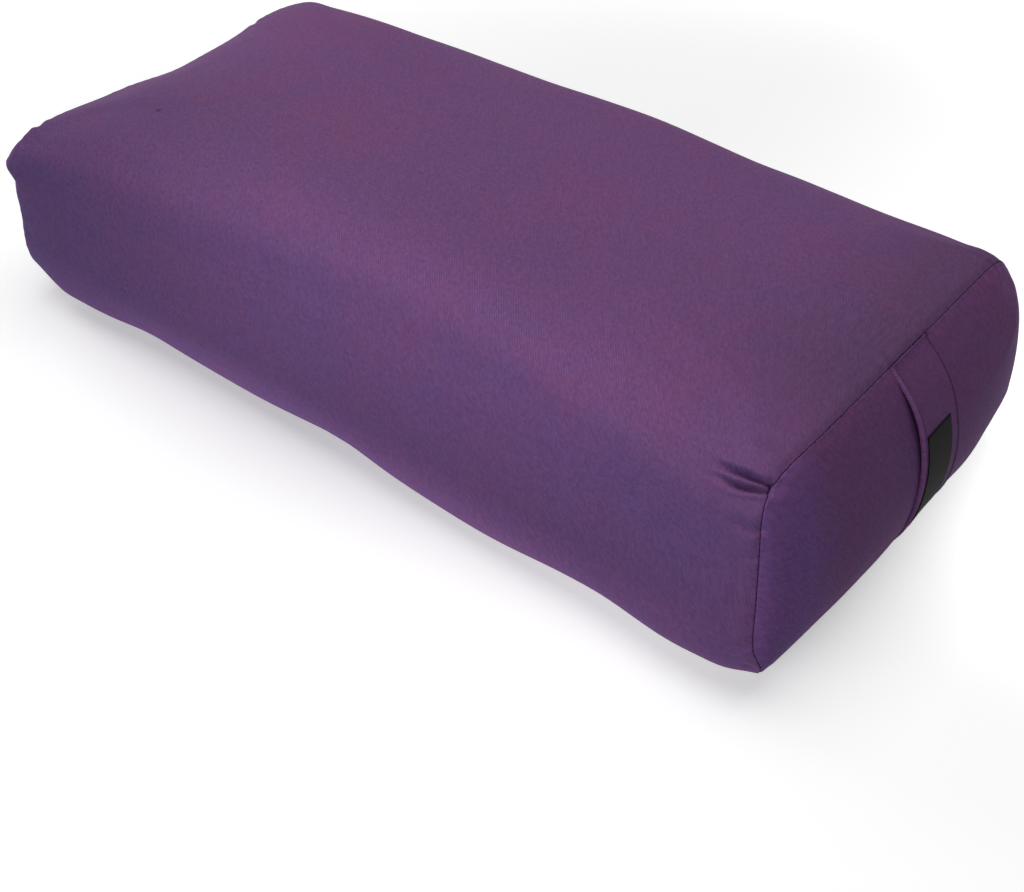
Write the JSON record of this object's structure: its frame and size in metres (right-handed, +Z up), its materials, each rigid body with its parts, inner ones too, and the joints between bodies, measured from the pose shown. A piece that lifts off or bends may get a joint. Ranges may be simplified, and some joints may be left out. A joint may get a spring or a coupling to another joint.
{
  "type": "rectangular yoga bolster",
  "caption": "Firm rectangular yoga bolster in a zipped twill cover, with a strap handle on one end and a padded cushion inside.",
  "frame": {"origin": "on the floor, under the middle of the distance between the two end seams", "axes": "+X along the bolster towards the end with the handle, +Y towards the long side with the zip, +Z up"},
  "size_m": [0.6381, 0.3094, 0.1524],
  "materials": {
    "purple_twill": "matt heavy cotton twill",
    "purple_thread": "matt sewing thread",
    "black_label_weave": "flat black woven label, blank",
    "zip_tape_weave": "matt woven tape",
    "zip_coil_nylon": "semi-matt nylon",
    "zip_metal": "plated, softly worn",
    "liner_cotton": "matt undyed cotton",
    "cotton_batting": "fluffy off-white batting",
    "foam": "matt open-cell foam"
  },
  "bodies": {
    "bolster": {"cover_wrap": "purple_twill", "cover_end_handle": "purple_twill", "cover_end_plain": "purple_twill", "seam_overlock_handle": "purple_thread", "seam_overlock_plain": "purple_thread", "seam_thread_handle": "purple_thread", "seam_thread_plain": "purple_thread", "handle_upper_leg": "purple_twill", "handle_lower_leg": "purple_twill", "zip_tape_upper": "zip_tape_weave", "zip_tape_lower": "zip_tape_weave", "zip_coil_upper": "zip_coil_nylon", "zip_coil_lower": "zip_coil_nylon", "zip_top_stop_upper": "zip_metal", "zip_top_stop_lower": "zip_metal", "zip_bottom_stop": "zip_metal", "liner_wrap": "liner_cotton", "liner_end_handle": "liner_cotton", "liner_end_plain": "liner_cotton", "batting_wrap": "cotton_batting", "batting_end_handle": "cotton_batting", "batting_end_plain": "cotton_batting", "foam_core": "foam"},
    "handle": {"handle_grip": "purple_twill", "woven_label": "black_label_weave"},
    "slider": {"zip_slider": "zip_metal"},
    "pull_tab": {"zip_pull": "zip_metal"}
  },
  "joints": [
    {"name": "handle_lift", "type": "slide", "parent": "bolster", "child": "handle", "axis": [1, 0, 0], "range_m": [0, 0.018], "deforming": ["handle_upper_leg", "handle_lower_leg"]},
    {"name": "zip_run", "type": "slide", "parent": "bolster", "child": "slider", "axis": [-1, 0, 0], "range_m": [0, 0.461]},
    {"name": "zip_pull_hinge", "type": "hinge", "parent": "slider", "child": "pull_tab", "pos_m": [0.2309, 0.15369, 0.0465], "axis": [0, 0, -1], "range_deg": [0, 175]}
  ]
}
